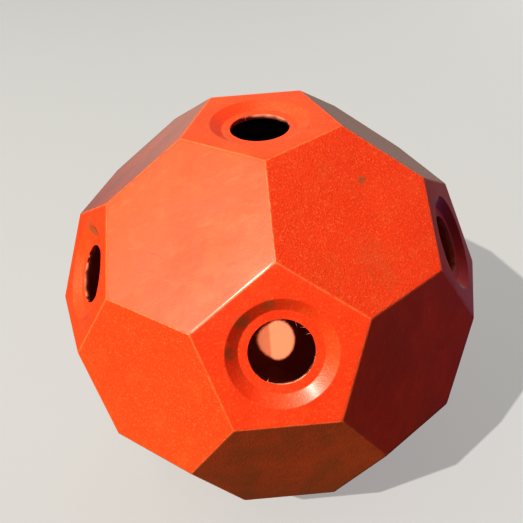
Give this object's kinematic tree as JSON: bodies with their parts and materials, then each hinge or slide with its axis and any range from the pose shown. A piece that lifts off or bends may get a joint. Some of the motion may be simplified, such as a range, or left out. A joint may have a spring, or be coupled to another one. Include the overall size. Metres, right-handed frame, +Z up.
{
  "type": "hay feeder ball",
  "caption": "Hollow faceted plastic ball that lets hay out through dished round holes, with a bolted-in ring and a screw-in fill cover.",
  "frame": {"origin": "centre of the bottom pentagon, on the ground plane, straight under the ball's centre", "axes": "+Z up through the top pentagon; -Y towards the front, where one pentagon of the upper ring is; the fill hatch is on the upper back hexagon, towards +Y"},
  "size_m": [0.3912, 0.3852, 0.3756],
  "materials": {
    "orange_plastic": "rotationally moulded polyethylene, satin, fine orange-peel grain, scuffed",
    "black_plastic": "injection moulded, fine matt grain",
    "seal_rubber": "soft black rubber",
    "fastener_steel": "stainless steel, turned and cold formed"
  },
  "bodies": {
    "ball": {"ball_shell": "orange_plastic", "hatch_ring": "black_plastic", "ring_gasket": "seal_rubber", "ring_screws": "fastener_steel", "ring_washers": "fastener_steel", "ring_nuts": "fastener_steel"},
    "seal": {"cover_seal": "seal_rubber"},
    "cover": {"hatch_cover": "black_plastic"}
  },
  "joints": [
    {"name": "cover_lift", "type": "slide", "parent": "ball", "child": "seal", "axis": [0, 0.6071, 0.7947], "range_m": [0, 0.0241]},
    {"name": "cover_turn", "type": "hinge", "parent": "seal", "child": "cover", "pos_m": [0, 0.11107, 0.33322], "axis": [0, 0.6071, 0.7947], "range_deg": [0, 1440]}
  ],
  "couplings": [
    {"joint": "cover_lift", "follows": "cover_turn", "m_per_rad": 0.00095493}
  ]
}
